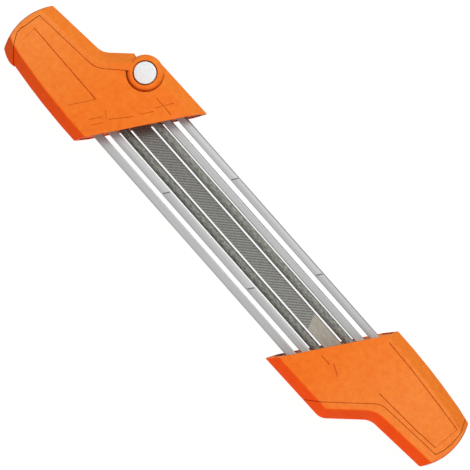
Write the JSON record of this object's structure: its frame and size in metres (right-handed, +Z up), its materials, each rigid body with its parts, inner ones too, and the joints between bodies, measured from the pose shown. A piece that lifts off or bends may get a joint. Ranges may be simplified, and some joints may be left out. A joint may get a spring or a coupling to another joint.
{
  "type": "chainsaw sharpener",
  "caption": "Two-way chainsaw file holder: guide bars between two angled handles carry round tooth files and a flat depth gauge file, held in by a hinged end cap.",
  "frame": {"origin": "middle of the flat underside, midway between the handles, on the surface that the tool lies on", "axes": "+X along the files from the hinged handle to the fixed handle, +Y across the bars towards the side of the hinge, +Z up out of the face shown in the picture"},
  "size_m": [0.37, 0.0718, 0.028],
  "materials": {
    "orange_nylon": "fine moulded grain, satin",
    "white_nylon": "smooth satin",
    "bar_aluminium": "matt, drawn lengthways",
    "file_steel": "cut file teeth, dull grey",
    "pin_steel": "plain drawn wire",
    "pad_rubber": "matt"
  },
  "bodies": {
    "holder": {"handle_a_body": "orange_nylon", "handle_a_anchor_block": "orange_nylon", "handle_b_body": "orange_nylon", "handle_b_cover": "orange_nylon", "handle_b_anchor_block": "orange_nylon", "pivot_pin": "white_nylon", "pivot_pin_cap": "white_nylon", "guide_bar_left_outer": "bar_aluminium", "guide_bar_left_inner": "bar_aluminium", "guide_bar_right_inner": "bar_aluminium", "guide_bar_right_outer": "bar_aluminium", "flat_file": "file_steel", "handle_a_bar_pin_left_outer": "pin_steel", "handle_a_bar_pin_left_inner": "pin_steel", "handle_a_bar_pin_right_inner": "pin_steel", "handle_a_bar_pin_right_outer": "pin_steel", "handle_b_bar_pin_left_outer": "pin_steel", "handle_b_bar_pin_left_inner": "pin_steel", "handle_b_bar_pin_right_inner": "pin_steel", "handle_b_bar_pin_right_outer": "pin_steel", "handle_a_lock_pin": "pin_steel", "handle_b_lock_pin": "pin_steel"},
    "cap": {"hinged_cap": "orange_nylon", "file_end_pad": "pad_rubber"},
    "left_file": {"round_file_left": "file_steel"},
    "right_file": {"round_file_right": "file_steel"}
  },
  "joints": [
    {"name": "cap_hinge", "type": "hinge", "parent": "holder", "child": "cap", "pos_m": [-0.1103, 0.0239, 0.014], "axis": [0, 0, -1], "range_deg": [0, 95]},
    {"name": "left_file_turn", "type": "hinge", "parent": "holder", "child": "left_file", "pos_m": [0, -0.0087, 0.01175], "axis": [1, 0, 0], "continuous": true},
    {"name": "right_file_turn", "type": "hinge", "parent": "holder", "child": "right_file", "pos_m": [0, 0.0087, 0.01625], "axis": [1, 0, 0], "continuous": true}
  ]
}
